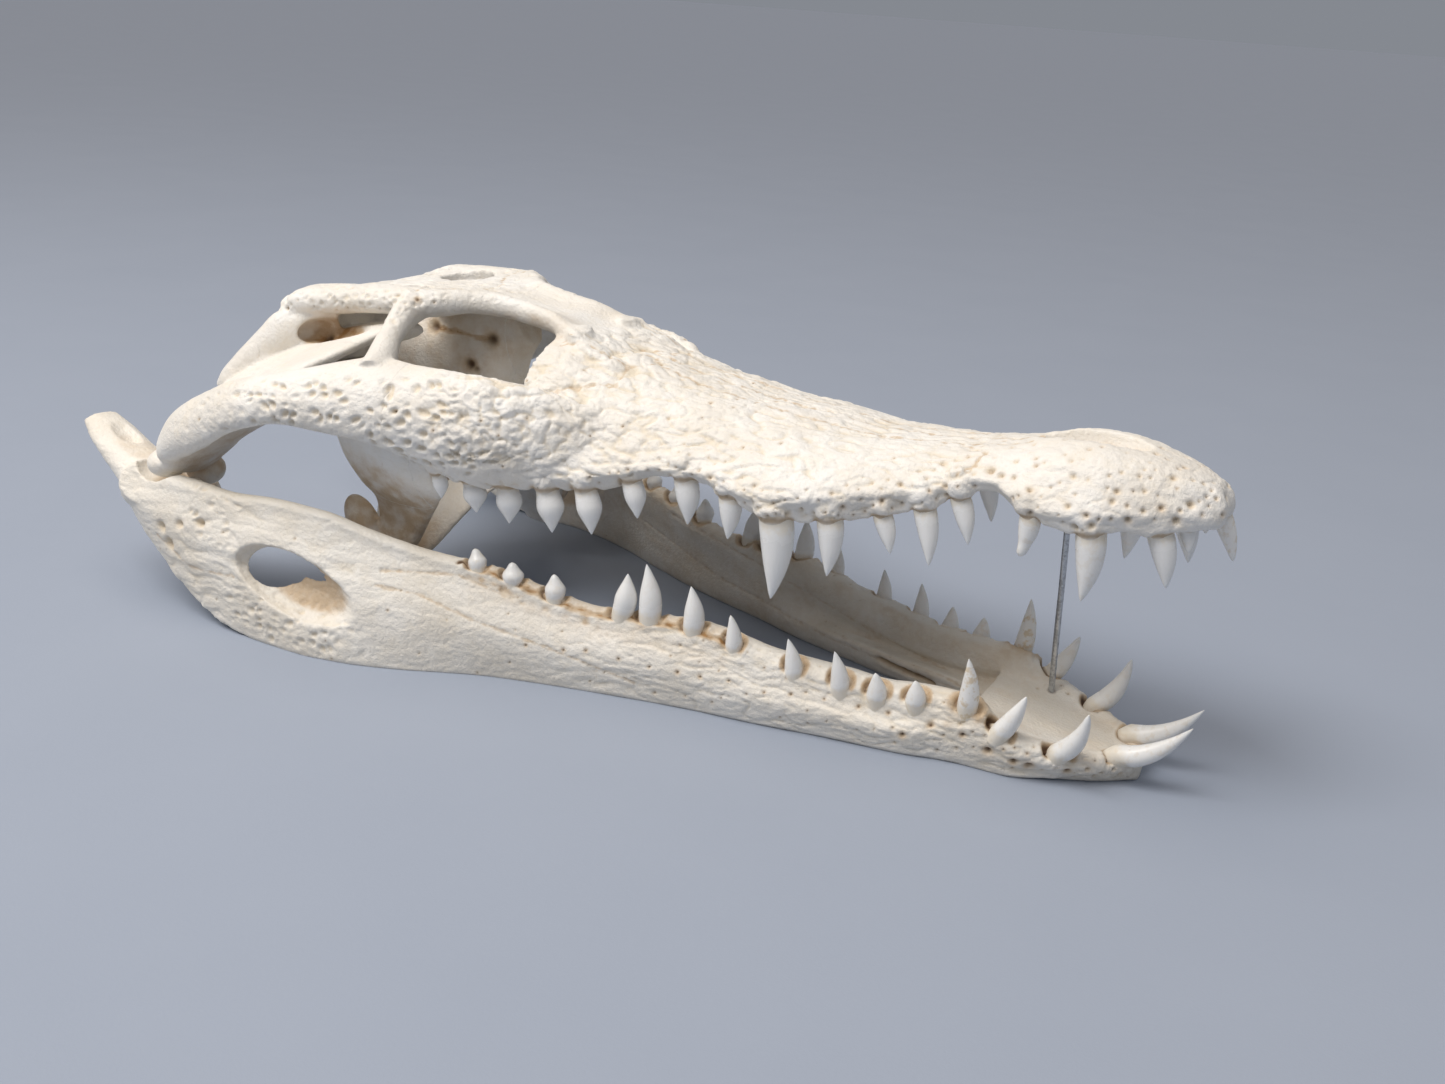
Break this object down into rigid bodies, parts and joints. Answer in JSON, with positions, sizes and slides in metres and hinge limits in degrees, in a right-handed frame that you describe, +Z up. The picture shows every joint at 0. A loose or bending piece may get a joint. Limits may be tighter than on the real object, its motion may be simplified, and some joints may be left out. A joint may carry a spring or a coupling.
{
  "type": "crocodile skull",
  "caption": "Life-size crocodile skull with toothed jaws held open by a short wire prop, resting on its lower jaw.",
  "frame": {"origin": "middle of the bounding box on the floor that the lower jaw rests on", "axes": "+X towards the snout, +Y towards the skull's left side, +Z up"},
  "size_m": [0.474, 0.213, 0.1407],
  "materials": {
    "cranium_bone": "matte",
    "jaw_bone": "matte",
    "enamel": "satin",
    "prop_wire": "satin"
  },
  "bodies": {
    "root": {"snout": "cranium_bone", "skull_roof": "cranium_bone", "cheek_right": "cranium_bone", "cheek_left": "cranium_bone", "palate": "cranium_bone", "mandible_right": "jaw_bone", "mandible_left": "jaw_bone", "prop_wire": "prop_wire"}
  },
  "joints": []
}
